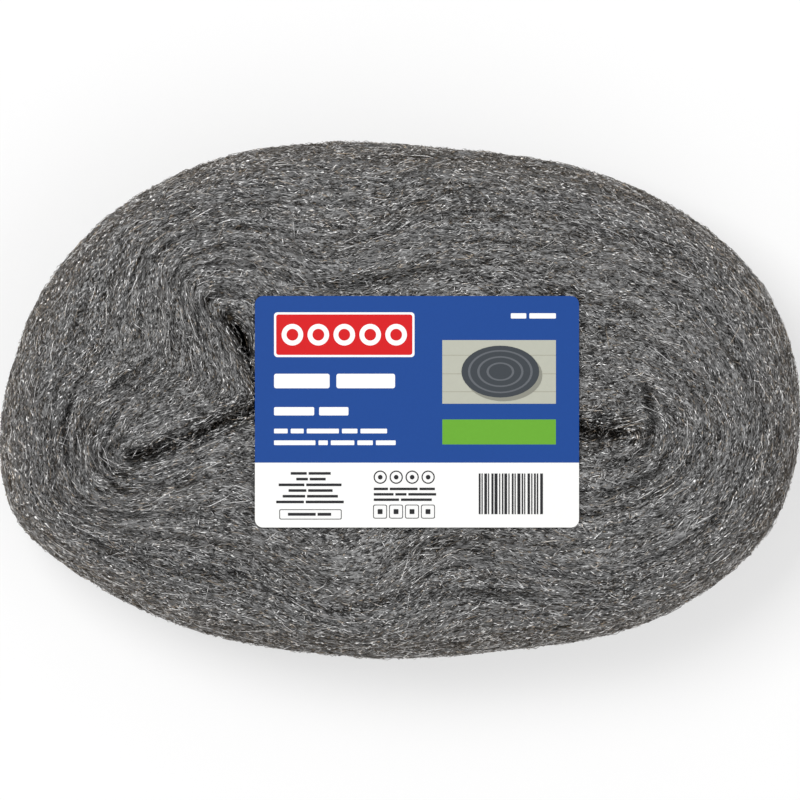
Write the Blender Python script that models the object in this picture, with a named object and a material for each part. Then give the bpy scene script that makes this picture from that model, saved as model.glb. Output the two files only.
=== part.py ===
# A wound hank of steel wool with its printed card lying on top.
# Metres, Z up. The origin is under the middle of the hank, on the surface that it lies on.

import bmesh
import bpy
from mathutils import Vector
from mathutils.geometry import interpolate_bezier

# Overall size of the hank, lying flat
HANK_LENGTH = 0.261
HANK_WIDTH = 0.168
HANK_THICKNESS = 0.062

# Rounded edge: how far it reaches in from the outline, and how full its curve is
EDGE_REACH = 0.020
EDGE_FULLNESS = 2.6
FACE_INSET = 0.0022
SIDE_ROWS = 6

# The layers of the wound ribbon, as they show on both faces
LAYERS = 8
LAYERS_BEGUN_PER_TURN = 5
GROOVE_DEPTH = 0.0024
LAYER_PROFILE = ((0.0, 1.0), (0.26, 0.0), (0.74, 0.0))
WAIST_SHARE = 0.45
SMALLEST_STEP = 0.15

# The pinched slots where the ribbon was first folded, one in each face, with a web between them
SLOT_WEB = 0.022
SLOT_LIP = 0.0030
LIP_SHARE = 0.07
SLOT_WALL = ((0.45, 0.75), (1.0, 0.35))

# Steps of the smooth loops between two of the stations below, and how far the curve handles
# reach for the shorter leg at their point, on the round loops and on the pinched ones
STEPS = 4
ROUND_EVENNESS = 2.0
PINCHED_EVENNESS = 0.5

# Stations go round the hank from the tip of the left slot, over the top of its plan. Each loop
# has a point for each station, in millimetres from the middle of the plan.
SLOT_LINE = (
    (-88, -18), (-77, -16), (-58, -7), (-46, -0.3), (-51, 16), (-55, 26), (-50, 20),
    (-45, 1.8), (16, -4), (62, -9.5), (71, -10), (73, -10), (73, -10.2), (72, -10.5),
    (62, -10.3), (13, -4.3), (-42, -0.8), (-56, -7.2), (-79, -17), (-85, -18),
)
SLOT_HALF_WIDTHS = (2, 2.1, 0.8, 1, 1.6, 2, 1.6, 0.8, 0.8, 1.5, 1.9, 1.9, 1.9, 1.9, 1.5, 0.8, 0.8, 0.8, 2, 2)
WAIST_LINE = (
    (-107, -18), (-103, -3), (-92, 6.5), (-83, 14), (-79.5, 31), (-75, 45), (-52, 51),
    (-23, 43), (18.5, 48), (59, 42), (92, 28), (106, 10.5), (110.5, -9), (100, -32),
    (67, -48.5), (16.5, -43), (-18, -53), (-57, -41.5), (-95.5, -38), (-104.5, -31),
)
RIM_LINE = (
    (-130.5, -19), (-129, 2), (-126, 12.5), (-121, 27), (-111, 43.5), (-94, 61), (-62, 78),
    (-24.5, 84), (16.5, 82), (64, 74), (102, 54), (122.5, 29), (130, -6.5), (120, -42.5),
    (82, -72), (25, -83), (-18, -84), (-71, -74), (-111, -53), (-125.5, -38.5),
)

# Deeper creases between layers: station and layer share where each starts and ends, and its depth
CREASES = (
    ((1.2, 0.42), (4.0, 0.46), 0.0045),
    ((6.2, 0.32), (10.6, 0.42), 0.0030),
    ((9.8, 0.10), (14.2, 0.16), 0.0060),
    ((14.2, 0.46), (18.6, 0.70), 0.0032),
)
CREASE_REACH = 0.06

# The card
CARD_LENGTH = 0.105
CARD_WIDTH = 0.075
CARD_THICKNESS = 0.0004
CARD_CORNER_RADIUS = 0.0026
CARD_CORNER_SEGMENTS = 6
CARD_CENTRE = (0.0055, -0.0038)
CARD_GAP = 0.0003

MILLIMETRE = 0.001


def clear_scene():
    for thing in list(bpy.data.objects):
        bpy.data.objects.remove(thing, do_unlink=True)


def make_material(name, colour, metallic, roughness):
    material = bpy.data.materials.new(name)
    material.use_nodes = True
    shader = material.node_tree.nodes["Principled BSDF"]
    shader.inputs["Base Color"].default_value = (*colour, 1.0)
    shader.inputs["Metallic"].default_value = metallic
    shader.inputs["Roughness"].default_value = roughness
    return material


def make_node(name, bm, material):
    mesh = bpy.data.meshes.new(name)
    bm.to_mesh(mesh)
    bm.free()
    mesh.materials.append(material)
    node = bpy.data.objects.new(name, mesh)
    bpy.context.collection.objects.link(node)
    return node


def smooth_loop(points, evenness):
    # A closed curve through the points, with STEPS places for each of them. A curve handle
    # reaches a third of the way to the next point, or less where the legs at its own point are
    # uneven, or all along a pinched loop.
    count = len(points)
    legs = [points[(i + 1) % count] - points[i] for i in range(count)]
    tangents = [(legs[i - 1].normalized() + legs[i].normalized()).normalized() for i in range(count)]
    reaches = [evenness * min(legs[i - 1].length, legs[i].length) for i in range(count)]
    loop = []
    for i, here in enumerate(points):
        j = (i + 1) % count
        length = legs[i].length
        start_handle = here + tangents[i] * min(length, reaches[i]) / 3
        end_handle = points[j] - tangents[j] * min(length, reaches[j]) / 3
        loop += interpolate_bezier(here, start_handle, end_handle, points[j], STEPS + 1)[:-1]
    return loop


def fitted(loop, rim):
    # Scales a loop so that the rim loop has exactly the named length and width
    low_x, high_x = min(p.x for p in rim), max(p.x for p in rim)
    low_y, high_y = min(p.y for p in rim), max(p.y for p in rim)
    return [
        Vector((
            (p.x - (low_x + high_x) / 2) * HANK_LENGTH / (high_x - low_x),
            (p.y - (low_y + high_y) / 2) * HANK_WIDTH / (high_y - low_y),
        ))
        for p in loop
    ]


def plan_loops():
    # Slot, slot edge, waist and rim loops in plan, with matching places all round
    slot = [Vector(p) * MILLIMETRE for p in SLOT_LINE]
    waist = [Vector(p) * MILLIMETRE for p in WAIST_LINE]
    rim = [Vector(p) * MILLIMETRE for p in RIM_LINE]
    edge = [
        s + (w - s).normalized() * half_width * MILLIMETRE
        for s, w, half_width in zip(slot, waist, SLOT_HALF_WIDTHS)
    ]
    smooth_rim = smooth_loop(rim, ROUND_EVENNESS)
    loops = [smooth_loop(line, PINCHED_EVENNESS) for line in (slot, edge)]
    loops += [smooth_loop(waist, ROUND_EVENNESS), smooth_rim]
    return [fitted(loop, smooth_rim) for loop in loops]


def across(edge, waist, rim, share):
    # The plan point at a share of the way from the slot edge to the rim, by way of the waist
    at_edge = (share - WAIST_SHARE) * (share - 1) / WAIST_SHARE
    at_waist = share * (share - 1) / (WAIST_SHARE * (WAIST_SHARE - 1))
    at_rim = share * (share - WAIST_SHARE) / (1 - WAIST_SHARE)
    return edge * at_edge + waist * at_waist + rim * at_rim


def edge_drop(inset):
    # How far the face has dropped at an inset from the outline, on the edge's full curve
    if inset >= EDGE_REACH:
        return 0.0
    run = 1 - max(inset, 0.0) / EDGE_REACH
    return HANK_THICKNESS / 2 * (1 - (1 - run ** EDGE_FULLNESS) ** (1 / EDGE_FULLNESS))


def edge_inset(height):
    # The inset of the side at a height above or below the middle of the thickness
    rise = abs(height) / (HANK_THICKNESS / 2)
    return EDGE_REACH * (1 - (1 - rise ** EDGE_FULLNESS) ** (1 / EDGE_FULLNESS))


def crease_depth(station, share):
    depth = 0.0
    for (start, start_share), (end, end_share), deepest in CREASES:
        along = (station - start) / (end - start)
        if 0 < along < 1:
            off = abs(share - start_share - along * (end_share - start_share)) / CREASE_REACH
            depth += deepest * 4 * along * (1 - along) * max(0.0, 1 - off)
    return depth


def face_depth(station, share, valley, inset):
    # How far a point of a face lies below the flat of the hank
    lip = SLOT_LIP * max(0.0, 1 - share / LIP_SHARE) ** 2
    groove = valley * (GROOVE_DEPTH + crease_depth(station, share))
    fade = min(1.0, share / LIP_SHARE, (1 - share) / LIP_SHARE)
    return edge_drop(inset) + lip + groove * fade


def layer_rows(turn):
    # Share and valley of each row of a face, at a part of a turn. The layers move outwards as
    # they go round, and rows that have not left the slot, or have reached the rim, stay there.
    rows = []
    for layer in range(-LAYERS_BEGUN_PER_TURN, LAYERS):
        for place, valley in LAYER_PROFILE:
            share = layer + place + turn * LAYERS_BEGUN_PER_TURN
            if share < SMALLEST_STEP:
                rows.append((0.0, 0.0))
            elif share > LAYERS - SMALLEST_STEP:
                rows.append((1.0, 0.0))
            else:
                rows.append((share / LAYERS, valley))
    rows.append((1.0, 0.0))
    return rows


def face_columns(bm, loops, upper):
    # For each place round the hank, the vertices of one face from the slot edge to the rim
    columns = []
    for i, (slot, edge, waist, rim) in enumerate(zip(*loops)):
        outward = (rim - waist).normalized()
        face_rim = rim - outward * FACE_INSET
        made = {}
        column = []
        for share, valley in layer_rows(i / len(loops[0])):
            if share not in made:
                plan = across(edge, waist, face_rim, share)
                depth = face_depth(i / STEPS, share, valley, (rim - plan).length)
                made[share] = bm.verts.new((*plan, HANK_THICKNESS - depth if upper else depth))
            column.append(made[share])
        columns.append(column)
    return columns


def add_face(bm, corners):
    # A face from corners of which some may be the same vertex
    distinct = list(dict.fromkeys(corners))
    if len(distinct) > 2:
        bm.faces.new(distinct)


def skin_face(bm, columns):
    # Joins the columns. Round a full turn each layer has moved out, so the last column meets
    # the first one a few layers further out.
    moved = LAYERS_BEGUN_PER_TURN * len(LAYER_PROFILE)
    first = columns[0][moved:] + columns[0][-1:] * moved
    for here, after in zip(columns, columns[1:] + [first]):
        for j in range(len(here) - 1):
            add_face(bm, (here[j], here[j + 1], after[j + 1], after[j]))


def bridge(bm, ring, next_ring):
    for i in range(len(ring)):
        add_face(bm, (ring[i - 1], ring[i], next_ring[i], next_ring[i - 1]))


def close_slot(bm, columns, loops, upper):
    # The walls of the slot, pinched together towards a narrow floor
    ring = [column[0] for column in columns]
    slot_depth = (HANK_THICKNESS - SLOT_WEB) / 2
    for deep, width in SLOT_WALL:
        depth = SLOT_LIP + deep * (slot_depth - SLOT_LIP)
        height = HANK_THICKNESS - depth if upper else depth
        lower = [
            bm.verts.new((*(slot + (edge - slot) * width), height))
            for slot, edge in zip(loops[0], loops[1])
        ]
        bridge(bm, ring, lower)
        ring = lower
    floor = bm.faces.new(ring)
    bmesh.ops.triangulate(bm, faces=[floor])


def close_side(bm, upper_columns, lower_columns, loops):
    # The bulging side between the rims of the two faces
    ring = [column[-1] for column in upper_columns]
    top = HANK_THICKNESS / 2 - edge_drop(FACE_INSET)
    for row in range(1, SIDE_ROWS):
        height = top * (1 - 2 * row / SIDE_ROWS)
        inset = edge_inset(height)
        lower = []
        for waist, rim in zip(loops[2], loops[3]):
            plan = rim - (rim - waist).normalized() * inset
            lower.append(bm.verts.new((*plan, HANK_THICKNESS / 2 + height)))
        bridge(bm, ring, lower)
        ring = lower
    bridge(bm, ring, [column[-1] for column in lower_columns])


def make_wool_hank():
    bm = bmesh.new()
    loops = plan_loops()
    faces = {}
    for upper in (True, False):
        faces[upper] = face_columns(bm, loops, upper)
        skin_face(bm, faces[upper])
        close_slot(bm, faces[upper], loops, upper)
    close_side(bm, faces[True], faces[False], loops)
    bmesh.ops.recalc_face_normals(bm, faces=bm.faces)
    steel = make_material("steel_wool", (0.15, 0.147, 0.142), 0.6, 0.5)
    return make_node("wool_hank", bm, steel)


def make_label_card():
    bm = bmesh.new()
    bmesh.ops.create_grid(bm, x_segments=1, y_segments=1, size=0.5)
    bmesh.ops.scale(bm, vec=(CARD_LENGTH, CARD_WIDTH, 1), verts=bm.verts)
    bmesh.ops.bevel(
        bm, geom=bm.verts, affect="VERTICES", offset=CARD_CORNER_RADIUS,
        offset_type="OFFSET", segments=CARD_CORNER_SEGMENTS, profile=0.5,
    )
    sheet = bmesh.ops.extrude_face_region(bm, geom=bm.faces[:])
    raised = [item for item in sheet["geom"] if isinstance(item, bmesh.types.BMVert)]
    bmesh.ops.translate(bm, vec=(0, 0, CARD_THICKNESS), verts=raised)
    bmesh.ops.recalc_face_normals(bm, faces=bm.faces)
    card = make_node("label_card", bm, make_material("printed_card", (0.03, 0.09, 0.35), 0.0, 0.4))
    card.location = (*CARD_CENTRE, HANK_THICKNESS + CARD_GAP)
    return card


clear_scene()
make_wool_hank()
make_label_card()
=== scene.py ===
import math

import bpy
import numpy as np
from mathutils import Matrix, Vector


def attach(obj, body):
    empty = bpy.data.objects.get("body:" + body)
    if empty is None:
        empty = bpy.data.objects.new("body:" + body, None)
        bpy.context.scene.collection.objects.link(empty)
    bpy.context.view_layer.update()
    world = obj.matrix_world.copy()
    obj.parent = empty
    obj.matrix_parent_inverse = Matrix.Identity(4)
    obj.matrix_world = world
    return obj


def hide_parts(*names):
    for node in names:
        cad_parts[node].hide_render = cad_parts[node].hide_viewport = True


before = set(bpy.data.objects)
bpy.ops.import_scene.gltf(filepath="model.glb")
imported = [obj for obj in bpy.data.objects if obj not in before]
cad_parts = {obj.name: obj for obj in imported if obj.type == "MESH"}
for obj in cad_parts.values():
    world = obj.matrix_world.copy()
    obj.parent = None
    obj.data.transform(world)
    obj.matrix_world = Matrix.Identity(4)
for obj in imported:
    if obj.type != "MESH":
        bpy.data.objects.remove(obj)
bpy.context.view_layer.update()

mm = 0.001

# The wound form, as the CAD hank has it: lengths in metres, lines in millimetres on the plan.
# Stations go clockwise round the hank from the tip of the left slot.
hankForm = {
    "length": 0.261,
    "width": 0.168,
    "thickness": 0.062,
    "edgeReach": 0.020,
    "edgeFullness": 2.6,
    "faceInset": 0.0022,
    "waistShare": 0.45,
    "layers": 8,
    "layersPerTurn": 5,
    "slotWeb": 0.022,
    "slotLip": 0.0030,
    "lipShare": 0.07,
    "slotWall": ((0, 0.45, 1), (1, 0.75, 0.35)),
    "leastRise": 0.02,
    "roundEvenness": 2.0,
    "pinchedEvenness": 0.5,
    "slotLine": (
        (-88, -18), (-77, -16), (-58, -7), (-46, -0.3), (-51, 16), (-55, 26), (-50, 20),
        (-45, 1.8), (16, -4), (62, -9.5), (71, -10), (73, -10), (73, -10.2), (72, -10.5),
        (62, -10.3), (13, -4.3), (-42, -0.8), (-56, -7.2), (-79, -17), (-85, -18),
    ),
    "slotHalfWidths": (
        0.6, 0.7, 0.15, 0.2, 0.4, 0.6, 0.4, 0.2, 0.2, 0.2,
        0.4, 0.5, 0.5, 0.4, 0.2, 0.2, 0.2, 0.15, 0.7, 0.6,
    ),
    "waistLine": (
        (-107, -18), (-103, -3), (-92, 6.5), (-83, 14), (-79.5, 31), (-75, 45), (-52, 51),
        (-23, 43), (18.5, 48), (59, 42), (92, 28), (106, 10.5), (110.5, -9), (100, -32),
        (67, -48.5), (16.5, -43), (-18, -53), (-57, -41.5), (-95.5, -38), (-104.5, -31),
    ),
    "rimLine": (
        (-130.5, -19), (-129, 2), (-126, 12.5), (-121, 27), (-111, 43.5), (-94, 61), (-62, 78),
        (-24.5, 84), (16.5, 82), (64, 74), (102, 54), (122.5, 29), (130, -6.5), (120, -42.5),
        (82, -72), (25, -83), (-18, -84), (-71, -74), (-111, -53), (-125.5, -38.5),
    ),
}
# A layer moves out by its drift with each station
stations = len(hankForm["rimLine"])
turnShare = hankForm["layersPerTurn"] / hankForm["layers"]
drift = turnShare / stations

# Relief of the wool: grooves between layers, ripples as cells round, cells across and height,
# and creases as plan lines in millimetres, each with half width in millimetres and depth in metres
relief = {
    "seed": 11,
    "grooveDepth": 0.0013,
    "grooveReach": 0.15,
    "grooveWander": 0.55,
    "wanderCells": (9, 8),
    "grooveFade": (0.05, 0.10),
    "grooveOutward": (0.35, 0.8, 0.7),
    "settle": 0.0004,
    "sway": 0.03,
    "overhang": 0.055,
    "overhangDrop": 0.004,
    "overhangLip": 0.5,
    "sideBlend": (1.85, 2.15),
    "creaseTaper": 0.22,
    # How much groove, lip and ripple add to the hollow depth, which paints shade into the colour
    "shadeShares": {"groove": 0.5, "lip": 0.5, "ripple": 0.4},
    "hollowUnit": 0.004,
    "ripples": ((10, 16, 0.0004), (26, 40, 0.0004), (70, 96, 0.0003)),
    "rippleFade": 3,
    "creases": (
        (((-91, -19), (-85, -18.5), (-78, -16.5), (-71, -13.5)), 2.6, 0.0032),
        (((-86, -18), (-72, -14.5), (-60, -8), (-40, 0.5)), 1.2, 0.0019),
        (((-59, 30), (-54, 24), (-48, 12)), 2.3, 0.0036),
        (((54, -8.5), (64, -10), (74, -11.4)), 1.9, 0.0030),
        (((74, 9), (80, 3), (82, -6.5), (80.4, -15.3), (74.4, -20), (60, -21.5)), 1.4, 0.0028),
        (((52, -29), (62, -31.5), (74, -29.5), (84, -22), (90, -12)), 1.2, 0.0014),
        (((53, 10), (63, 8.5), (71, 5), (76, -1)), 1.2, 0.0014),
        (((-48, 36.5), (-58, 36), (-66, 29.5), (-65, 22), (-59, 15)), 1.2, 0.0013),
        (((-105, 3), (-109, -8), (-108, -20), (-101, -30)), 1.1, 0.0014),
        (((-95, -3), (-100, -12), (-99, -22), (-91, -29), (-80, -31)), 1.1, 0.0013),
        (((-86, -11), (-94, -15), (-95, -21), (-88, -25.5), (-76, -26)), 1.1, 0.0013),
        (((-74, 21.5), (-78, 15.5), (-85, 9), (-97, 1)), 1.4, 0.0016),
        (((-111, -39), (-90, -52.3), (-59, -57.2), (-39, -55.6)), 2.0, 0.0018),
        (((-6, -54.5), (4, -49), (16.4, -45.8), (26, -48.5), (36, -54)), 2.2, 0.0022),
        (((-16.4, -67), (4, -63.5), (21.3, -62), (54, -63.8)), 1.8, 0.0015),
        (((-46, 41), (-23, 37.6), (-6.5, 39), (14.7, 42.5), (39, 37.6)), 2.0, 0.0013),
        (((39, 37.6), (62, 33), (82, 26), (88, 19.6)), 2.0, 0.0014),
        (((98, 41), (108, 22), (111, 9.8), (114.5, 3.3)), 2.2, 0.0008),
        (((106.3, -29.4), (98, -50.7)), 2.2, 0.0010),
    ),
}

# Where the card lies. The wool beneath it is pressed down, and no fibres are laid where it hides them.
card = {
    "centre": (0.0055, -0.0038),
    "size": (0.105, 0.075),
    "top": 0.0627,
    "underside": 0.0621,
    "pressedRim": 0.0008,
    "hiddenRim": 0.003,
    "upperPart": 0.04,
}


def smoothStep(low, high, value):
    part = np.clip((value - low) / (high - low), 0, 1)
    return part * part * (3 - 2 * part)


def loopHandles(points, evenness):
    legs = np.roll(points, -1, axis=0) - points
    lengths = np.linalg.norm(legs, axis=1)
    units = legs / lengths[:, None]
    tangents = np.roll(units, 1, axis=0) + units
    tangents /= np.linalg.norm(tangents, axis=1)[:, None]
    reaches = evenness * np.minimum(np.roll(lengths, 1), lengths)
    leaving = points + tangents * (np.minimum(lengths, reaches) / 3)[:, None]
    after = np.roll(points, -1, axis=0)
    back = np.minimum(lengths, np.roll(reaches, -1)) / 3
    arriving = after - np.roll(tangents, -1, axis=0) * back[:, None]
    return points, leaving, arriving, after


def loopAt(handles, station):
    leg = np.floor(station).astype(int) % stations
    part = (station - np.floor(station))[..., None]
    start, leaving, arriving, end = (each[leg] for each in handles)
    rest = 1 - part
    return (start * rest ** 3 + leaving * 3 * rest ** 2 * part
            + arriving * 3 * rest * part ** 2 + end * part ** 3)


def planHandles():
    slot = np.array(hankForm["slotLine"], dtype=float)
    waist = np.array(hankForm["waistLine"], dtype=float)
    rim = np.array(hankForm["rimLine"], dtype=float)
    away = (waist - slot) / np.linalg.norm(waist - slot, axis=1)[:, None]
    edge = slot + away * np.array(hankForm["slotHalfWidths"])[:, None]
    smoothRim = loopAt(loopHandles(rim, hankForm["roundEvenness"]), np.arange(0, stations, 0.25))
    low = smoothRim.min(axis=0)
    high = smoothRim.max(axis=0)
    scale = np.array((hankForm["length"], hankForm["width"])) / (high - low)
    lines = {}
    for name, line, evenness in (
        ("slot", slot, hankForm["pinchedEvenness"]),
        ("edge", edge, hankForm["pinchedEvenness"]),
        ("waist", waist, hankForm["roundEvenness"]),
        ("rim", rim, hankForm["roundEvenness"]),
    ):
        handles = loopHandles(line, evenness)
        lines[name] = [(each - (low + high) / 2) * scale for each in handles]
    return lines


planLines = planHandles()


def edgeDrop(inset):
    run = 1 - np.clip(inset / hankForm["edgeReach"], 0, 1)
    full = hankForm["edgeFullness"]
    return hankForm["thickness"] / 2 * (1 - (1 - run ** full) ** (1 / full))


def edgeInset(height):
    rise = np.abs(height) / (hankForm["thickness"] / 2)
    full = hankForm["edgeFullness"]
    return hankForm["edgeReach"] * (1 - (1 - rise ** full) ** (1 / full))


def latticeNoise(around, across, cellsRound, cellsAcross, table):
    # Smooth noise from a table that repeats both ways
    u = around * cellsRound
    v = across * cellsAcross
    i = np.floor(u).astype(int)
    j = np.floor(v).astype(int)
    a = smoothStep(0, 1, u - i)
    b = smoothStep(0, 1, v - j)
    wide, tall = table.shape
    low = table[i % wide, j % tall] * (1 - a) + table[(i + 1) % wide, j % tall] * a
    high = table[i % wide, (j + 1) % tall] * (1 - a) + table[(i + 1) % wide, (j + 1) % tall] * a
    return low * (1 - b) + high * b


def reliefTables():
    # Each table repeats where the layers meet themselves after one turn
    rng = np.random.default_rng(relief["seed"])
    tables = []
    for cellsRound, cellsAcross, _ in relief["ripples"]:
        size = (cellsRound, round(cellsAcross * turnShare))
        tables.append((rng.random(size) * 2 - 1, rng.random(size) * 2 - 1))
    cellsRound, cellsAcross = relief["wanderCells"]
    tables.append(rng.random((cellsRound, round(cellsAcross * turnShare))) * 2 - 1)
    return tables


rippleTables = reliefTables()


def rippleNoise(around, across, size, side):
    # One size of ripple, from its table for the upper face (side 0) or the underside (side 1)
    return latticeNoise(around, across, *relief["ripples"][size][:2], rippleTables[size][side])


def creaseDepth(plan):
    # How deep the pinched creases of the upper face are at plan points, in metres
    depth = np.zeros(plan.shape[:-1])
    fade = relief["creaseTaper"]
    for line, halfWidth, deepest in relief["creases"]:
        points = np.array(line) * mm
        lengths = np.linalg.norm(np.diff(points, axis=0), axis=1)
        total = lengths.sum()
        nearest = np.full(depth.shape, 1.0)
        along = np.zeros(depth.shape)
        for i, length in enumerate(lengths):
            leg = (points[i + 1] - points[i]) / length
            offset = plan - points[i]
            run = np.clip(offset @ leg, 0, length)
            away = np.linalg.norm(offset - run[..., None] * leg, axis=-1)
            closer = away < nearest
            nearest = np.where(closer, away, nearest)
            along = np.where(closer, (lengths[:i].sum() + run) / total, along)
        taper = smoothStep(0, fade, along) * smoothStep(0, fade, 1 - along)
        depth = np.maximum(depth, deepest * taper * np.exp(-(nearest / (halfWidth * mm)) ** 2))
    return depth


def hankSurface(station, row, detail=True, overSlot=False):
    # Places on the hank's skin, how they face, how hollow they are (a depth used only to paint shade into
    # the colour) and how far in from the rim.
    # Row 0 is the slot edge of the upper face, 1 its rim, 2 the rim of the underside and 3 its
    # slot edge. Beyond are the slots, where overSlot goes on across instead of down.
    station = np.asarray(station, dtype=float)
    row = np.asarray(row, dtype=float)
    names = ("slot", "edge", "waist", "rim")
    slot, edge, waist, rim = (loopAt(planLines[name], station) for name in names)
    outward = (rim - waist) / np.linalg.norm(rim - waist, axis=-1)[..., None]
    upper = row < 1.5
    share = np.clip(np.where(upper, row, 3 - row), 0, 1)[..., None]
    faceRim = rim - outward * hankForm["faceInset"]
    middle = hankForm["waistShare"]
    plan = (edge * ((share - middle) * (share - 1) / middle)
            + waist * (share * (share - 1) / (middle * (middle - 1)))
            + faceRim * (share * (share - middle) / (1 - middle)))
    share = share[..., 0]
    half = hankForm["thickness"] / 2
    inset = np.linalg.norm(rim - plan, axis=-1)
    height = half - edgeDrop(inset)
    sideHeight = (half - edgeDrop(np.array(hankForm["faceInset"]))) * (1 - 2 * np.clip(row - 1, 0, 1))
    onSide = (row > 1) & (row < 2)
    plan = np.where(onSide[..., None], rim - outward * edgeInset(sideHeight)[..., None], plan)
    inset = np.where(onSide, edgeInset(sideHeight), inset)
    height = np.where(onSide, sideHeight, np.where(upper, height, -height))
    lip = hankForm["slotLip"] * np.clip(1 - share / hankForm["lipShare"], 0, 1) ** 2
    down = np.clip(np.where(upper, -row, row - 3), 0, 1)
    wallWidth = np.interp(down, *hankForm["slotWall"])[..., None]
    wallDrop = down * ((hankForm["thickness"] - hankForm["slotWeb"]) / 2 - hankForm["slotLip"])
    if overSlot:
        inward = (slot - edge) / np.linalg.norm(slot - edge, axis=-1)[..., None]
        plan = plan + inward * (down * relief["overhang"])[..., None]
        wallDrop = down * relief["overhangDrop"]
        lip = lip * relief["overhangLip"]
    else:
        plan = np.where(down[..., None] > 0, slot + (edge - slot) * wallWidth, plan)
    height = np.where(upper, height - lip - wallDrop, height + lip + wallDrop)
    full = hankForm["edgeFullness"]
    run = np.clip(1 - inset / hankForm["edgeReach"], 0, 1) ** (full - 1) / hankForm["edgeReach"]
    rise = np.clip(np.abs(height) / half, hankForm["leastRise"], 1) ** (full - 1) / half * np.sign(height)
    facing = np.concatenate((outward * run[..., None], rise[..., None]), axis=-1)
    facing /= np.linalg.norm(facing, axis=-1)[..., None]
    place = np.concatenate((plan, height[..., None] + half), axis=-1)
    turn = station / stations
    spiral = share - drift * station
    first, last = relief["grooveFade"]
    onFace = np.minimum(1, np.minimum(share / first, (1 - share) / last)) * ~onSide * (down == 0)
    fadeFrom, fadeTo, fade = relief["grooveOutward"]
    onFace = onFace * (1 - fade * smoothStep(fadeFrom, fadeTo, share))
    wander = latticeNoise(turn, spiral, *relief["wanderCells"], rippleTables[-1]) * relief["grooveWander"]
    phase = spiral * hankForm["layers"] + wander
    offGroove = np.abs(phase - np.round(phase)) / relief["grooveReach"]
    groove = relief["grooveDepth"] * np.exp(-offGroove ** 2) * onFace
    crease = creaseDepth(plan) * (upper & ~onSide)
    # Painted shade: grooves, creases, slot lips and slot walls darken the colour by their depth
    shares = relief["shadeShares"]
    hollow = groove * shares["groove"] + crease + lip * shares["lip"] + wallDrop
    if detail:
        below = smoothStep(*relief["sideBlend"], row)
        ripple = np.zeros(row.shape)
        sway = rippleNoise(turn, row - drift * station, 0, 0) * relief["sway"]
        for size, (_, _, tall) in enumerate(relief["ripples"]):
            above = rippleNoise(turn + sway, row - drift * station, size, 0)
            under = rippleNoise(turn + sway, 3 - row - drift * station, size, 1)
            ripple += tall * (above * (1 - below) + under * below)
        ripple *= np.clip(1 - down * relief["rippleFade"], 0, 1)
        # Painted light and shade: ripple crests are painted lighter and troughs darker
        hollow = hollow - ripple * shares["ripple"]
        place = place + facing * (ripple - relief["settle"] - groove - crease)[..., None]
    return place, facing, hollow, inset


def keepClear(place, gap):
    # Presses down what lies beneath the card, and keeps everything off the floor
    offset = np.abs(place[..., :2] - np.array(card["centre"])) - np.array(card["size"]) / 2
    beneath = (offset < card["pressedRim"]).all(axis=-1) & (place[..., 2] > card["upperPart"])
    place[..., 2] = np.where(beneath, np.minimum(place[..., 2], card["underside"] - gap), place[..., 2])
    place[..., 2] = np.maximum(place[..., 2], gap / 2)
    return place


class Shade:
    # A socket of a material, with arithmetic that adds Math nodes

    def __init__(self, tree, socket=None):
        self.tree = tree
        self.socket = socket

    def node(self, kind, settings=None, inputs=None, output=0):
        made = self.tree.nodes.new(kind)
        for name, value in (settings or {}).items():
            setattr(made, name, value)
        for name, value in (inputs or {}).items():
            if isinstance(value, Shade):
                self.tree.links.new(value.socket, made.inputs[name])
            else:
                made.inputs[name].default_value = value
        return Shade(self.tree, made.outputs[output])

    def maths(self, operation, *values):
        return self.node("ShaderNodeMath", {"operation": operation}, dict(enumerate(values)))

    def __add__(self, other):
        return self.maths("ADD", self, other)

    def __radd__(self, other):
        return self.maths("ADD", other, self)

    def __sub__(self, other):
        return self.maths("SUBTRACT", self, other)

    def __rsub__(self, other):
        return self.maths("SUBTRACT", other, self)

    def __mul__(self, other):
        return self.maths("MULTIPLY", self, other)

    def __rmul__(self, other):
        return self.maths("MULTIPLY", other, self)

    def mixed(self, first, second):
        # This value as the factor between two colours
        return self.node("ShaderNodeMix", {"data_type": "RGBA"}, {0: self, 6: first, 7: second}, 2)

    def feeds(self, shader, name):
        self.tree.links.new(self.socket, shader.inputs[name])


def newMaterial(name, constants):
    material = bpy.data.materials.new(name)
    material.use_nodes = True
    shader = material.node_tree.nodes["Principled BSDF"]
    for socket, value in constants.items():
        shader.inputs[socket].default_value = value
    return material, Shade(material.node_tree), shader


def attributeValue(shade, name):
    return shade.node("ShaderNodeAttribute", {"attribute_name": name}, output=2)


# Lights, floor and camera
studio = {
    "worldStrength": 0.48,
    "keySize": 1.0,
    "keyPower": 32,
    "keyPlace": (-0.8, 0.65, 2.1),
    "fillSize": 2.4,
    "fillPower": 16,
    "fillPlace": (1.4, -1.0, 1.8),
    "lightLevel": 0.03,
    "floorColour": (0.93, 0.93, 0.93, 1),
    "floorGlow": 0.55,
    "floorRoughness": 0.9,
    "floorSize": 24,
    "floorLevel": -0.0002,
    "cameraHeight": 3.4,
    "viewWidth": 0.2616,
    "viewLevel": 0.031,
    "sensorWidth": 36,
    "clipEnd": 100,
}


def addAreaLight(name, place, size, power):
    bpy.ops.object.light_add(type="AREA", location=place)
    lamp = bpy.context.object
    lamp.name = name
    lamp.data.size = size
    lamp.data.energy = power
    aim = Vector((0, 0, studio["lightLevel"])) - lamp.location
    lamp.rotation_euler = aim.to_track_quat("-Z", "Y").to_euler()


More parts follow.
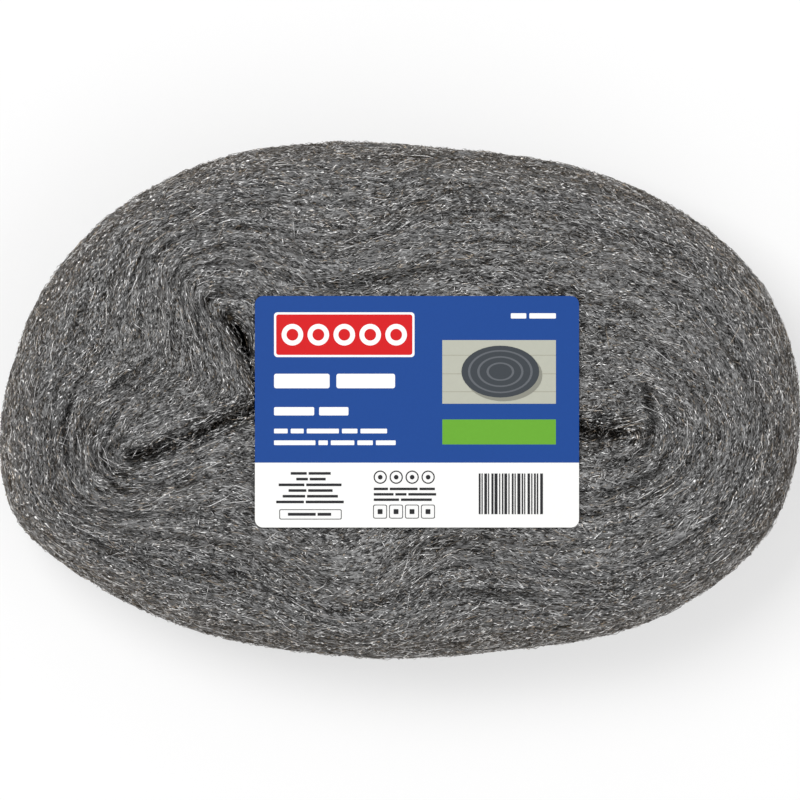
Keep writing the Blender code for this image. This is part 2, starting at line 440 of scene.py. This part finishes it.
def buildStudio():
    scene = bpy.context.scene
    scene.view_settings.view_transform = "Standard"
    world = bpy.data.worlds.new("studioWorld")
    scene.world = world
    world.use_nodes = True
    background = world.node_tree.nodes["Background"]
    sky = Shade(world.node_tree)
    fromCamera = sky.node("ShaderNodeLightPath", output="Is Camera Ray")
    fromGloss = sky.node("ShaderNodeLightPath", output="Is Glossy Ray")
    seen = sky.maths("MAXIMUM", fromCamera, fromGloss)
    strength = seen * (1 - studio["worldStrength"]) + studio["worldStrength"]
    strength.feeds(background, "Strength")
    background.inputs["Color"].default_value = (1, 1, 1, 1)
    addAreaLight("keyLight", studio["keyPlace"], studio["keySize"], studio["keyPower"])
    addAreaLight("fillLight", studio["fillPlace"], studio["fillSize"], studio["fillPower"])

    bpy.ops.mesh.primitive_plane_add(size=studio["floorSize"], location=(0, 0, studio["floorLevel"]))
    floor = bpy.context.object
    floor.name = "studioFloor"
    material, shade, shader = newMaterial("floorPaint", {
        "Roughness": studio["floorRoughness"],
        "Base Color": studio["floorColour"],
    })
    glowShare = shade.node("ShaderNodeLightPath", output="Is Camera Ray") * studio["floorGlow"]
    glow = shade.node("ShaderNodeEmission", {}, {"Color": (1, 1, 1, 1), "Strength": 1})
    paint = Shade(shade.tree, shader.outputs["BSDF"])
    mixed = shade.node("ShaderNodeMixShader", {}, {0: glowShare, 1: paint, 2: glow})
    mixed.feeds(material.node_tree.nodes["Material Output"], "Surface")
    floor.data.materials.append(material)

    distance = studio["cameraHeight"] - studio["viewLevel"]
    bpy.ops.object.camera_add(location=(0, 0, studio["cameraHeight"]), rotation=(0, 0, 0))
    camera = bpy.context.object
    camera.data.sensor_width = studio["sensorWidth"]
    camera.data.lens = studio["sensorWidth"] * distance / studio["viewWidth"]
    camera.data.clip_end = studio["clipEnd"]
    scene.camera = camera
    print("studio built")


# The body of the wool, with threads painted along the winding as turns with their strength. Between the
# threads the colour runs to near black, as painted shade deep in the wool.
woolMass = {
    "columns": 340,
    "slotRows": 5,
    "faceRows": 104,
    "sideRows": 40,
    "undersideRows": 62,
    "weld": 1e-6,
    "cardGap": 0.0003,
    "hollowLimits": (-0.4, 3),
    "fill": 0.8,
    "flowLengths": (0.52, 0.06),
    "threads": ((-0.30, 0.85), (0.03, 1.0), (0.34, 0.9)),
    "threadScale": (230, 1050, 1),
    "threadEdge": 9,
    "tuftScale": (70, 420, 1),
    "tuftShare": 0.4,
    "hollowShade": 0.3,
    "toneRange": (0.30, 1.20),
    # Near black, painted shade deep in the wool between threads and in hollows
    "dark": (0.01, 0.01, 0.01, 1),
    "light": (0.26, 0.26, 0.26, 1),
    "metallic": 0.6,
    "roughness": 0.5,
    "bump": 0.6,
    "bumpDepth": 0.0003,
}


def fibreMaterial():
    material, shade, shader = newMaterial("steelFibreBed", {
        "Metallic": woolMass["metallic"],
        "Roughness": woolMass["roughness"],
    })
    flow = shade.node("ShaderNodeUVMap", {"uv_map": "flow"})
    threads = []
    for turned, strength in woolMass["threads"]:
        slanted = shade.node("ShaderNodeMapping", {}, {"Vector": flow, "Rotation": (0, 0, turned)})
        place = shade.node("ShaderNodeMapping", {}, {"Vector": slanted, "Scale": woolMass["threadScale"]})
        wave = shade.node("ShaderNodeTexNoise", {"noise_dimensions": "2D"},
                          {"Vector": place, "Scale": 1, "Detail": 1, "Distortion": 0.3})
        threads.append(strength - shade.maths("ABSOLUTE", wave - 0.5) * woolMass["threadEdge"])
    thread = shade.maths("MAXIMUM", shade.maths("MAXIMUM", threads[0], threads[1]), threads[2])
    place = shade.node("ShaderNodeMapping", {}, {"Vector": flow, "Scale": woolMass["tuftScale"]})
    tuft = shade.node("ShaderNodeTexNoise", {"noise_dimensions": "2D"},
                      {"Vector": place, "Scale": 1, "Detail": 2, "Distortion": 0.3})
    # Painted shade: the colour darkens where the skin is hollow
    hollow = attributeValue(shade, "hollow")
    tone = thread + tuft * woolMass["tuftShare"] - hollow * woolMass["hollowShade"]
    low, high = woolMass["toneRange"]
    ranged = shade.node("ShaderNodeMapRange", {}, {"Value": tone, "From Min": low, "From Max": high})
    ranged.mixed(woolMass["dark"], woolMass["light"]).feeds(shader, "Base Color")
    bump = shade.node("ShaderNodeBump", {}, {
        "Height": thread, "Strength": woolMass["bump"], "Distance": woolMass["bumpDepth"],
    })
    bump.feeds(shader, "Normal")
    return material


def buildWoolMass():
    rows = np.concatenate((
        np.linspace(-1, 0, woolMass["slotRows"], endpoint=False),
        np.linspace(0, 1, woolMass["faceRows"], endpoint=False),
        np.linspace(1, 2, woolMass["sideRows"], endpoint=False),
        np.linspace(2, 3, woolMass["undersideRows"], endpoint=False),
        np.linspace(3, 4, woolMass["slotRows"] + 1),
    ))
    bpy.ops.object.select_all(action="DESELECT")
    bpy.ops.mesh.primitive_grid_add(
        x_subdivisions=woolMass["columns"], y_subdivisions=len(rows) - 1, size=2, calc_uvs=True,
    )
    mass = bpy.context.object
    mass.name = "woolMass"
    mesh = mass.data
    flat = np.empty(len(mesh.vertices) * 3)
    mesh.vertices.foreach_get("co", flat)
    flat = flat.reshape(-1, 3)
    station = (flat[:, 0] + 1) / 2 * stations
    row = rows[np.round((flat[:, 1] + 1) / 2 * (len(rows) - 1)).astype(int)]
    place, _, hollow, _ = hankSurface(station, row)
    place = keepClear(place, woolMass["cardGap"])
    mesh.vertices.foreach_set("co", place.ravel())
    mesh.uv_layers[0].name = "OFBake"
    corner = np.empty(len(mesh.loops), dtype=np.int32)
    mesh.loops.foreach_get("vertex_index", corner)
    under = row > 2
    spiral = np.where(under, row + drift * station, row - drift * station)
    flow = np.stack((station / stations, spiral), axis=1) * woolMass["flowLengths"]
    mesh.uv_layers.new(name="flow").data.foreach_set("uv", flow[corner].ravel())
    # The hollow depth, which paints shade into the colour
    hollows = mesh.attributes.new("hollow", "FLOAT", "POINT")
    hollows.data.foreach_set("value", np.clip(hollow / relief["hollowUnit"], *woolMass["hollowLimits"]))
    bpy.ops.object.mode_set(mode="EDIT")
    bpy.ops.mesh.select_all(action="SELECT")
    bpy.ops.mesh.remove_doubles(threshold=woolMass["weld"])
    bpy.ops.mesh.fill_holes(sides=0)
    bpy.ops.mesh.select_all(action="SELECT")
    bpy.ops.mesh.normals_make_consistent(inside=False)
    bpy.ops.object.mode_set(mode="OBJECT")
    bpy.ops.object.shade_smooth()
    mesh.materials.append(fibreMaterial())
    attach(mass, "root")
    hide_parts("wool_hank")
    print("wool mass:", len(mesh.polygons), "faces")


# The loose fibres on the skin, in pieces by region. Rows are as on the hank's skin. A sliver is
# straight, with four faces, and the others have rings of three points and can bend.
fibreKinds = {
    "sliver": {"rings": 0, "length": (0.0016, 0.0042), "radius": (0.00012, 0.00018), "bend": 0,
               "sway": 0.00003, "proud": (-0.0001, 0.0004)},
    "bent": {"rings": 1, "length": (0.0028, 0.0070), "radius": (0.00009, 0.00014), "bend": 0.8,
             "sway": 0.0003, "proud": (0, 0.0009)},
    "long": {"rings": 2, "length": (0.0080, 0.0160), "radius": (0.00008, 0.00012), "bend": 0.7,
             "sway": 0.0003, "proud": (0.0001, 0.0009)},
}
fibreRegions = {
    "fibresInner": {"seed": 21, "spread": 14, "rows": (-0.045, 0.66),
                    "counts": {"sliver": 29000, "bent": 12000}},
    "fibresOuter": {"seed": 22, "spread": 20, "rows": (0.62, 1.06),
                    "counts": {"sliver": 30000, "bent": 12000}},
    "fibresSide": {"seed": 23, "spread": 20, "rows": (1.0, 2.02),
                   "counts": {"sliver": 29000, "bent": 11000}},
    "fibresUnder": {"seed": 24, "spread": 20, "rows": (2.0, 3.02),
                    "counts": {"sliver": 26000, "bent": 10000}},
    "fibresLong": {"seed": 25, "spread": 14, "rows": (-0.04, 3.04),
                   "counts": {"long": 5500}},
}

# How fibres lie and how they are coloured. Angles are in degrees from the winding, a rim band is
# its place in from the rim, its width and how much darker it is.
fibre = {
    "cells": (400, 60),
    "step": (0.01, 0.002),
    "furthest": (0.7, 0.15),
    "rowLimits": (-0.08, 3.08),
    "stretch": 1.4,
    "bendShape": (0.1, 0.8),
    "lean": 15,
    "warp": 0.012,
    "crossShare": 0.14,
    "crossSpread": 45,
    "endDepth": 0.0003,
    "cardGap": 0.0001,
    "sliverRoll": 0.4,
    "tone": (0.36, 1.38),
    "toneShift": 0.022,
    "streakTone": 0.06,
    "proudHighlight": 250,
    "proudMiddle": 0.0003,
    "deepShade": (0.04, 0.38),
    "hollowLimits": (-0.4, 1.8),
    "rimBands": ((0, 0.006, 0.07), (0.016, 0.004, 0.04)),
    "strawShare": 0.07,
    "strawTint": (0.15, 0.45),
    "rimTint": (0.008, 0.06),
    "tint": 0.03,
    "cellMargin": 0.12,
    # Fibre colours by tone: the random spread is partly the steel's own variation and partly painted glints
    # and painted shade between fibres
    "dark": (0.008, 0.008, 0.0085, 1),
    "light": (0.96, 0.96, 0.96, 1),
    "straw": (0.68, 0.54, 0.39, 1),
    "metallic": 0.7,
    "roughness": 0.32,
}


def strandMaterial():
    material, shade, shader = newMaterial("steelFibre", {
        "Metallic": fibre["metallic"],
        "Roughness": fibre["roughness"],
    })
    tone = attributeValue(shade, "tone")
    warmth = attributeValue(shade, "warmth")
    grey = tone.mixed(fibre["dark"], fibre["light"])
    warmth.mixed(grey, fibre["straw"]).feeds(shader, "Base Color")
    return material


def evenPlaces(rng, count, low, high):
    # Random places, evenly spread over the skin between two rows
    around, across = fibre["cells"]
    stationEdges = np.linspace(0, stations, around + 1)
    rowEdges = np.linspace(low, high, across + 1)
    grid = np.meshgrid(stationEdges, rowEdges, indexing="ij")
    place = hankSurface(*grid, detail=False, overSlot=True)[0]
    along = place[1:, :-1] - place[:-1, :-1]
    over = place[:-1, 1:] - place[:-1, :-1]
    area = np.linalg.norm(np.cross(along, over), axis=-1)
    offset = np.abs(place[:-1, :-1, :2] - np.array(card["centre"])) - np.array(card["size"]) / 2
    hidden = (offset < -card["hiddenRim"]).all(axis=-1) & (place[:-1, :-1, 2] > card["upperPart"])
    area[hidden] = 0
    area = area.ravel()
    cell = rng.choice(area.size, count, p=area / area.sum())
    station = (cell // across + rng.random(count)) * stations / around
    row = low + (cell % across + rng.random(count)) * (high - low) / across
    return station, row


def sliverFaces():
    # Two points at the middle, between the points at its ends
    triangles = ((0, 1, 2), (3, 2, 1), (0, 3, 1), (0, 2, 3))
    corners = np.array(((0, 0.5), (0.5, 0), (0.5, 1), (1, 0.5)))
    return np.array(triangles), corners[np.array(triangles)]


def ringFaces(rings):
    # Rings of three points between the points at its ends, and where each face lies in its cell
    triangles = []
    cellPlaces = []
    last = rings + 1
    end = 1 + rings * 3
    for side in range(3):
        after = (side + 1) % 3
        low = side / 3
        high = (side + 1) / 3
        triangles.append((0, 1 + after, 1 + side))
        cellPlaces.append(((0, (low + high) / 2), (1 / last, high), (1 / last, low)))
        for ring in range(rings - 1):
            here = 1 + ring * 3
            there = here + 3
            left = (ring + 1) / last
            right = (ring + 2) / last
            triangles.append((here + side, here + after, there + side))
            cellPlaces.append(((left, low), (left, high), (right, low)))
            triangles.append((here + after, there + after, there + side))
            cellPlaces.append(((left, high), (right, high), (right, low)))
        triangles.append((end - 3 + side, end - 3 + after, end))
        cellPlaces.append(((rings / last, low), (rings / last, high), (1, (low + high) / 2)))
    return np.array(triangles), np.array(cellPlaces)


def skinStep(station, row, stationStep, rowStep):
    # Metres over the skin for each unit of station or row
    start = hankSurface(station, row, detail=False)[0]
    end = hankSurface(station + stationStep, row + rowStep, detail=False)[0]
    return np.linalg.norm(end - start, axis=-1) / np.maximum(stationStep, np.abs(rowStep))


def layLines(rng, sort, count, region):
    # The middle lines of fibres, how the skin faces along them and what colours them
    stops = max(sort["rings"], 1) + 2
    station, row = evenPlaces(rng, count, *region["rows"])
    stationStep, rowStep = fibre["step"]
    alongStation = skinStep(station, row, stationStep, 0)
    alongRow = skinStep(station, row, 0, np.where(row > 1.5, -rowStep, rowStep))
    length = rng.uniform(*sort["length"], count)
    cross = rng.random(count) < fibre["crossShare"]
    spiral = row - drift * station
    warp = rippleNoise(station / stations, spiral, 2, 0) * fibre["warp"]
    lockPlace = (station / stations + warp, spiral + warp / 2)
    lean = rippleNoise(*lockPlace, 1, 1)
    streak = rippleNoise(*lockPlace, 1, 0)
    spread = np.where(cross, fibre["crossSpread"], region["spread"])
    angle = np.radians(rng.normal(lean * fibre["lean"], spread, count))
    along = np.linspace(-0.5, 0.5, stops)[:, None] * length
    bend = rng.normal(0, 1, count) * length * sort["bend"]
    sway = rng.normal(0, sort["sway"], (stops, count))
    level, bendShare = fibre["bendShape"]
    sideways = along * np.sin(angle) + bend * ((along / length) ** 2 - level) * bendShare + sway
    furthestStation, furthestRow = fibre["furthest"]
    stationAt = station + np.clip(along * np.cos(angle) / alongStation, -furthestStation, furthestStation)
    slope = np.where(row > 2, -drift, drift)
    rowAt = row + slope * (stationAt - station) + np.clip(sideways / alongRow, -furthestRow, furthestRow)
    place, facing, hollow, inset = hankSurface(stationAt, np.clip(rowAt, *fibre["rowLimits"]), overSlot=True)
    centre = place[stops // 2]
    reach = np.linalg.norm(np.diff(place, axis=0), axis=-1).sum(axis=0)
    shrink = np.minimum(1, fibre["stretch"] * length / reach)
    place = centre + (place - centre) * shrink[:, None]
    proud = rng.uniform(*sort["proud"], count)
    lift = np.full((stops, count), proud)
    lift[0] = -fibre["endDepth"]
    lift[-1] = -fibre["endDepth"]
    place = keepClear(place + facing * lift[..., None], fibre["cardGap"])
    # How hollow the fibre lies, which paints shade on it
    deep = np.clip(hollow[1:-1].mean(axis=0) / relief["hollowUnit"], *fibre["hollowLimits"])
    return place, facing, {"proud": proud, "deep": deep, "inset": inset[1:-1].mean(axis=0),
                           "streak": streak, "lean": lean}


def thicken(rng, sort, count, place, facing):
    # Points round the middle lines, between a single point at each end
    tangent = np.gradient(place, axis=0)
    tangent /= np.linalg.norm(tangent, axis=-1)[..., None]
    flank = np.cross(tangent, facing)
    flank /= np.linalg.norm(flank, axis=-1)[..., None]
    top = np.cross(flank, tangent)
    radius = rng.uniform(*sort["radius"], count)[:, None]
    sides = 3 if sort["rings"] else 2
    roll = rng.uniform(0, 2 * math.pi, count) if sort["rings"] else rng.normal(0, fibre["sliverRoll"], count)
    points = [place[0]]
    for ring in range(1, len(place) - 1):
        for side in range(sides):
            turned = (roll + side * 2 * math.pi / sides)[:, None]
            points.append(place[ring] + (flank[ring] * np.cos(turned) + top[ring] * np.sin(turned)) * radius)
    points.append(place[-1])
    return np.stack(points, axis=1)


def colourFibres(rng, count, line):
    # How bright and how warm each fibre is, with a painted highlight on fibres that stand proud
    # A random tone, partly the steel's own variation and partly painted glints and painted shade
    tone = rng.beta(*fibre["tone"], count) + (line["proud"] - fibre["proudMiddle"]) * fibre["proudHighlight"]
    for middle, width, darker in fibre["rimBands"]:
        tone -= np.exp(-((line["inset"] - middle) / width) ** 2) * darker
    tone += line["streak"] * fibre["streakTone"] + fibre["toneShift"]
    # Painted shade on fibres lying in hollows
    tone -= line["deep"] * rng.uniform(*fibre["deepShade"], count)
    straw = rng.random(count) < fibre["strawShare"]
    warmth = np.where(straw, rng.uniform(*fibre["strawTint"], count), 0)
    width, rimTint = fibre["rimTint"]
    warmth += np.exp(-(line["inset"] / width) ** 2) * rimTint + (1 + line["lean"]) * fibre["tint"]
    return np.clip(tone, 0, 1), warmth


def buildFibres(name, settings, material):
    rng = np.random.default_rng(settings["seed"])
    total = sum(settings["counts"].values())
    wide = math.ceil(math.sqrt(total))
    placed = 0
    made = 0
    places, corners, uvs, tones, warmths = [], [], [], [], []
    for kind, count in settings["counts"].items():
        sort = fibreKinds[kind]
        place, facing, line = layLines(rng, sort, count, settings)
        points = thicken(rng, sort, count, place, facing)
        tone, warmth = colourFibres(rng, count, line)
        triangles, cellPlaces = ringFaces(sort["rings"]) if sort["rings"] else sliverFaces()
        perFibre = points.shape[1]
        places.append(points.reshape(-1, 3))
        faces = triangles[None] + (np.arange(count) * perFibre)[:, None, None] + made
        cell = np.arange(placed, placed + count)
        cells = np.stack((cell % wide, cell // wide), axis=1)[:, None, None]
        uv = (cells + fibre["cellMargin"] + (1 - 2 * fibre["cellMargin"]) * cellPlaces[None]) / wide
        legs = points[:, triangles] - points[:, None, :1]
        volume = np.einsum("fti,fti->f", legs[:, :, 0], np.cross(legs[:, :, 1], legs[:, :, 2]))
        insideOut = volume < 0
        faces[insideOut] = faces[insideOut][:, :, ::-1]
        uv[insideOut] = uv[insideOut][:, :, ::-1]
        corners.append(faces.ravel())
        uvs.append(uv.reshape(-1, 2))
        tones.append(np.repeat(tone, perFibre))
        warmths.append(np.repeat(warmth, perFibre))
        placed += count
        made += count * perFibre
    corners = np.concatenate(corners).astype(np.int32)
    mesh = bpy.data.meshes.new(name)
    mesh.vertices.add(made)
    mesh.vertices.foreach_set("co", np.concatenate(places).ravel())
    mesh.loops.add(len(corners))
    mesh.loops.foreach_set("vertex_index", corners)
    mesh.polygons.add(len(corners) // 3)
    mesh.polygons.foreach_set("loop_start", np.arange(0, len(corners), 3, dtype=np.int32))
    mesh.polygons.foreach_set("use_smooth", np.ones(len(corners) // 3, dtype=bool))
    mesh.update(calc_edges=True)
    mesh.uv_layers.new(name="OFBake").data.foreach_set("uv", np.concatenate(uvs).ravel())
    for attribute, values in (("tone", tones), ("warmth", warmths)):
        mesh.attributes.new(attribute, "FLOAT", "POINT").data.foreach_set("value", np.concatenate(values))
    mesh.validate()
    piece = bpy.data.objects.new(name, mesh)
    bpy.context.collection.objects.link(piece)
    mesh.materials.append(material)
    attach(piece, "root")
    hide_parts("wool_hank")
    print(name, total, "fibres,", len(mesh.polygons), "faces")


# The printed card. Places and sizes are in millimetres from the card's middle.
label = {
    "lift": 0.03,
    "roughness": 0.4,
    "sheen": 0.12,
    "mottle": (900, 0.93),
    "stock": {"roughness": 0.45, "grain": 1600,
              "light": (0.90, 0.90, 0.89, 1), "dark": (0.84, 0.84, 0.82, 1)},
    "bevelSegments": 6,
    "discPoints": 40,
    "wordRounding": 0.15,
    "inks": {
        "blueInk": (0.011, 0.062, 0.280),
        "redInk": (0.64, 0.011, 0.014),
        "greenInk": (0.140, 0.390, 0.034),
        "whiteInk": (0.94, 0.94, 0.94),
        "blackInk": (0.02, 0.02, 0.022),
        "greyInk": (0.048, 0.056, 0.065),
        "paperInk": (0.90, 0.90, 0.89),
        "woodInk": (0.479, 0.485, 0.412),
        "seamInk": (0.36, 0.35, 0.28),
        "shadowInk": (0.26, 0.26, 0.22),
        "paleGreyInk": (0.12, 0.13, 0.145),
    },
    # Ink, left, bottom, right, top, layer and corner radius
    "field": ("blueInk", -52.5, -16.5, 52.5, 37.5, 1, 2.6),
    "panels": (
        ("whiteInk", -46.3, 17.7, -0.8, 32.2, 2, 1.1),
        ("redInk", -45.6, 18.4, -1.5, 31.5, 3, 0.8),
        ("woodInk", 8.2, 2.6, 45.0, 23.2, 2, 0),
        ("seamInk", 8.2, 6.4, 45.0, 6.58, 3, 0),
        ("seamInk", 8.2, 12.2, 45.0, 12.38, 3, 0),
        ("seamInk", 8.2, 18.2, 45.0, 18.38, 3, 0),
        ("greenInk", 8.2, -10.6, 45.0, -2.5, 2, 0),
        ("blackInk", -44.6, -34.9, -24.4, -31.6, 2, 0.5),
        ("paperInk", -44.35, -34.65, -24.65, -31.85, 3, 0.4),
    ),
    # Ink, left, bottom, height, widths, gap and layer
    "words": (
        ("whiteInk", -46.3, 7.6, 4.7, (18.0, 19.0), 2.2, 2),
        ("whiteInk", -46.3, -1.2, 2.7, (13.0, 9.5), 1.6, 2),
        ("whiteInk", -46.3, -7.0, 1.5, (4.4, 4.2, 10.4, 5.0, 8.6), 1.0, 2),
        ("whiteInk", -46.3, -10.8, 1.5, (13.4, 3.0, 7.6, 5.0, 6.4), 1.0, 2),
        ("whiteInk", 30.4, 30.2, 1.7, (5.0, 8.6), 1.0, 2),
        ("blackInk", -41.8, -33.7, 0.95, (9.0, 4.4), 0.6, 4),
        ("blackInk", -14.0, -25.4, 0.8, (4.6, 9.0, 5.0), 0.6, 2),
        ("blackInk", -14.0, -27.15, 0.8, (6.4, 3.6, 9.0), 0.6, 2),
        ("blackInk", -14.0, -28.9, 0.8, (8.2, 10.0), 0.6, 2),
    ),
    "centred": {"middle": -34.4, "top": -20.4, "step": 1.85, "height": 0.85, "gap": 0.6,
                "shares": (0.4, 0.55), "widths": (13.0, 9.4, 20.8, 14.4, 18.2, 22.4)},
    "logo": {"count": 5, "left": -40.35, "step": 8.4, "middle": 24.95,
             "rings": (("whiteInk", 3.5), ("redInk", 1.9))},
    # Ink, place, radius of each disc of the coil, each on the last
    "coil": {"stretch": 1.5, "layer": 4, "discs": (
        ("shadowInk", 28.0, 11.8, 8.4),
        ("greyInk", 27.0, 13.0, 8.4),
        ("paleGreyInk", 27.0, 13.0, 7.0),
        ("greyInk", 27.0, 13.0, 6.5),
        ("paleGreyInk", 27.0, 13.0, 5.0),
        ("greyInk", 27.0, 13.0, 4.5),
        ("paleGreyInk", 27.0, 13.0, 3.0),
        ("greyInk", 27.0, 13.0, 2.5),
    )},
    # Ink with a radius, or with the reach to each side and a corner radius
    "marks": {"count": 4, "step": 5.17, "discPlace": (-11.9, -21.2), "squarePlace": (-11.95, -32.35),
              "discs": (("blackInk", 2.15), ("paperInk", 1.75), ("blackInk", 0.75)),
              "squares": (("blackInk", 2.25, 0.6), ("paperInk", 2.0, 0.45), ("blackInk", 0.8, 0.2))},
    "bars": {"left": 20.0, "bottom": -33.2, "top": -20.0,
             "widths": (0.6, 0.4, 0.9, 0.4, 0.7, 1.0, 0.4, 0.5, 0.9, 0.4,
                        0.6, 0.4, 1.0, 0.5, 0.4, 0.8, 0.4, 0.6, 0.5, 0.9),
             "gaps": (0.3, 0.5, 0.3, 0.7, 0.3, 0.5, 0.5, 0.3, 0.4, 0.7,
                      0.3, 0.5, 0.4, 0.3, 0.7, 0.4, 0.5, 0.3, 0.6, 0)},
}


def inkMaterial(name, colour):
    material, shade, shader = newMaterial(name, {
        "Roughness": label["roughness"], "Specular IOR Level": label["sheen"],
    })
    place = shade.node("ShaderNodeTexCoord", output="Object")
    scale, share = label["mottle"]
    mottle = shade.node("ShaderNodeTexNoise", {}, {"Vector": place, "Scale": scale, "Detail": 3})
    darker = tuple(level * share for level in colour)
    mottle.mixed((*colour, 1), (*darker, 1)).feeds(shader, "Base Color")
    return material


def stockMaterial():
    stock = label["stock"]
    material, shade, shader = newMaterial("cardStock", {"Roughness": stock["roughness"]})
    place = shade.node("ShaderNodeTexCoord", output="Object")
    grain = shade.node("ShaderNodeTexNoise", {}, {"Vector": place, "Scale": stock["grain"], "Detail": 4})
    grain.mixed(stock["light"], stock["dark"]).feeds(shader, "Base Color")
    return material


class LabelPrinter:
    # Lays flat printed shapes on the card, each a little above the last layer

    def __init__(self):
        self.shapes = []
        self.inks = {name: inkMaterial(name, colour) for name, colour in label["inks"].items()}

    def keep(self, ink):
        shape = bpy.context.object
        shape.data.materials.append(self.inks[ink])
        self.shapes.append(shape)
        return shape

    def place(self, centre, layer):
        return (
            card["centre"][0] + centre[0] * mm,
            card["centre"][1] + centre[1] * mm,
            card["top"] + layer * label["lift"] * mm,
        )

    def block(self, ink, left, bottom, right, top, layer=1, radius=0, corners="all"):
        middle = ((left + right) / 2, (bottom + top) / 2)
        bpy.ops.mesh.primitive_plane_add(size=1, location=self.place(middle, layer))
        shape = self.keep(ink)
        shape.scale = ((right - left) * mm, (top - bottom) * mm, 1)
        bpy.ops.object.transform_apply(location=False, rotation=False, scale=True)
        if radius:
            for part in (*shape.data.edges, *shape.data.polygons):
                part.select = False
            for vertex in shape.data.vertices:
                vertex.select = corners == "all" or vertex.co.y > 0
            bpy.ops.object.mode_set(mode="EDIT")
            bpy.ops.mesh.bevel(offset=radius * mm, affect="VERTICES", segments=label["bevelSegments"])
            bpy.ops.object.mode_set(mode="OBJECT")

    def disc(self, ink, x, y, radius, layer=1, stretch=1):
        bpy.ops.mesh.primitive_circle_add(
            vertices=label["discPoints"], radius=radius * mm, fill_type="NGON",
            location=self.place((x, y), layer),
        )
        shape = self.keep(ink)
        shape.scale = (stretch, 1, 1)

    def words(self, ink, left, bottom, tall, widths, gap, layer=2):
        for width in widths:
            self.block(ink, left, bottom, left + width, bottom + tall, layer, tall * label["wordRounding"])
            left += width + gap

    def finish(self, name):
        bpy.ops.object.select_all(action="DESELECT")
        for shape in self.shapes:
            shape.select_set(True)
        bpy.context.view_layer.objects.active = self.shapes[0]
        bpy.ops.object.join()
        piece = bpy.context.object
        piece.name = name
        bpy.ops.object.transform_apply(location=True, rotation=True, scale=True)
        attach(piece, "root")


def buildLabel():
    bpy.ops.object.select_all(action="DESELECT")
    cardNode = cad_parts["label_card"]
    stock = stockMaterial()
    for slot in cardNode.material_slots:
        slot.material = stock
    printer = LabelPrinter()
    printer.block(*label["field"], corners="upper")
    for panel in label["panels"]:
        printer.block(*panel)
    for words in label["words"]:
        printer.words(*words)
    logo = label["logo"]
    for i in range(logo["count"]):
        for layer, (ink, radius) in enumerate(logo["rings"], 4):
            printer.disc(ink, logo["left"] + i * logo["step"], logo["middle"], radius, layer)
    coil = label["coil"]
    for layer, disc in enumerate(coil["discs"], coil["layer"]):
        printer.disc(*disc, layer, coil["stretch"])
    rows = label["centred"]
    for i, width in enumerate(rows["widths"]):
        widths = [width * share for share in rows["shares"]]
        bottom = rows["top"] - i * rows["step"]
        printer.words("blackInk", rows["middle"] - width / 2, bottom, rows["height"], widths, rows["gap"])
    marks = label["marks"]
    for i in range(marks["count"]):
        x, y = marks["discPlace"]
        x += i * marks["step"]
        for layer, (ink, radius) in enumerate(marks["discs"], 2):
            printer.disc(ink, x, y, radius, layer)
        x, y = marks["squarePlace"]
        x += i * marks["step"]
        for layer, (ink, reach, radius) in enumerate(marks["squares"], 2):
            printer.block(ink, x - reach, y - reach, x + reach, y + reach, layer, radius)
    bars = label["bars"]
    x = bars["left"]
    for width, gap in zip(bars["widths"], bars["gaps"]):
        printer.block("blackInk", x, bars["bottom"], x + width, bars["top"], 2)
        x += width + gap
    printer.finish("labelPrint")
    print("label printed:", len(printer.shapes), "shapes")


buildStudio()
buildWoolMass()
strands = strandMaterial()
for regionName, region in fibreRegions.items():
    buildFibres(regionName, region, strands)
buildLabel()
